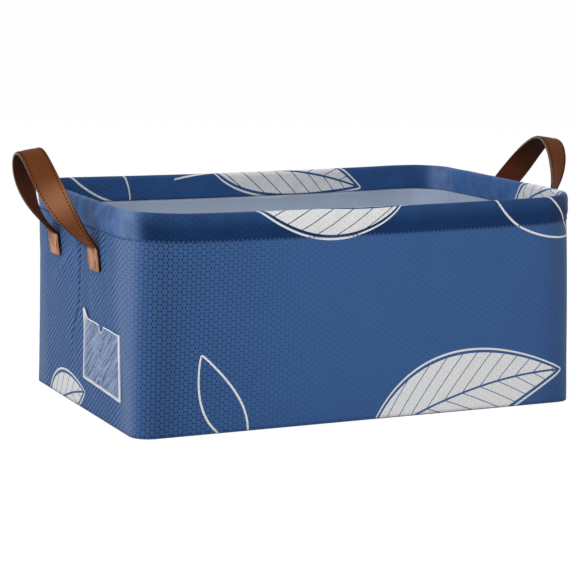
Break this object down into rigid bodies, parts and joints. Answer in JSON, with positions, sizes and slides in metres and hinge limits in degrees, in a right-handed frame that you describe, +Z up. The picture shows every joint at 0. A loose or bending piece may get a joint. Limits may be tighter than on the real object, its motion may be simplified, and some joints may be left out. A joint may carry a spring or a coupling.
{
  "type": "fabric storage bin",
  "caption": "Open-top rectangular fabric storage bin with a wire-stiffened hem, coated lining, stiff base board, leather end handles and a clear label pocket.",
  "frame": {"origin": "middle of the base's underside", "axes": "+X along the long side, -Y the front, +Z up"},
  "size_m": [0.5058, 0.274, 0.2189],
  "materials": {
    "printed_cloth": "navy honeycomb-weave polyester with a white leaf print",
    "coated_lining": "smooth grey waterproof coating",
    "base_board": "grey board",
    "steel_wire": "drawn steel wire",
    "brown_leather": "brown, smooth, satin",
    "dark_leather": "dark brown, matte",
    "white_edging": "white, satin",
    "clear_film": "clear flexible film"
  },
  "bodies": {
    "bin": {"front_panel": "printed_cloth", "front_lining": "coated_lining", "back_panel": "printed_cloth", "back_lining": "coated_lining", "left_end_panel": "printed_cloth", "left_end_lining": "coated_lining", "right_end_panel": "printed_cloth", "right_end_lining": "coated_lining", "base_panel": "printed_cloth", "base_board": "base_board", "base_lining": "coated_lining", "label_border": "white_edging", "label_window": "clear_film"},
    "rim": {"rim_hem": "printed_cloth", "rim_wire": "steel_wire", "left_front_tab": "brown_leather", "left_front_patch": "coated_lining", "left_rear_tab": "brown_leather", "left_rear_patch": "coated_lining", "right_front_tab": "brown_leather", "right_front_patch": "coated_lining", "right_rear_tab": "brown_leather", "right_rear_patch": "coated_lining"},
    "left_handle": {"left_handle_face": "brown_leather", "left_handle_backing": "dark_leather"},
    "right_handle": {"right_handle_face": "brown_leather", "right_handle_backing": "dark_leather"}
  },
  "joints": [
    {"name": "rim_press", "type": "slide", "parent": "bin", "child": "rim", "axis": [0, 0, 1], "range_m": [-0.075, 0], "deforming": ["front_panel", "front_lining", "back_panel", "back_lining", "left_end_panel", "left_end_lining", "right_end_panel", "right_end_lining", "label_border", "label_window"]},
    {"name": "left_handle_swing", "type": "hinge", "parent": "rim", "child": "left_handle", "pos_m": [-0.20611, 0, 0.14], "axis": [0, -1, 0], "range_deg": [-26, 120]},
    {"name": "right_handle_swing", "type": "hinge", "parent": "rim", "child": "right_handle", "pos_m": [0.20611, 0, 0.14], "axis": [0, 1, 0], "range_deg": [-26, 120]}
  ]
}
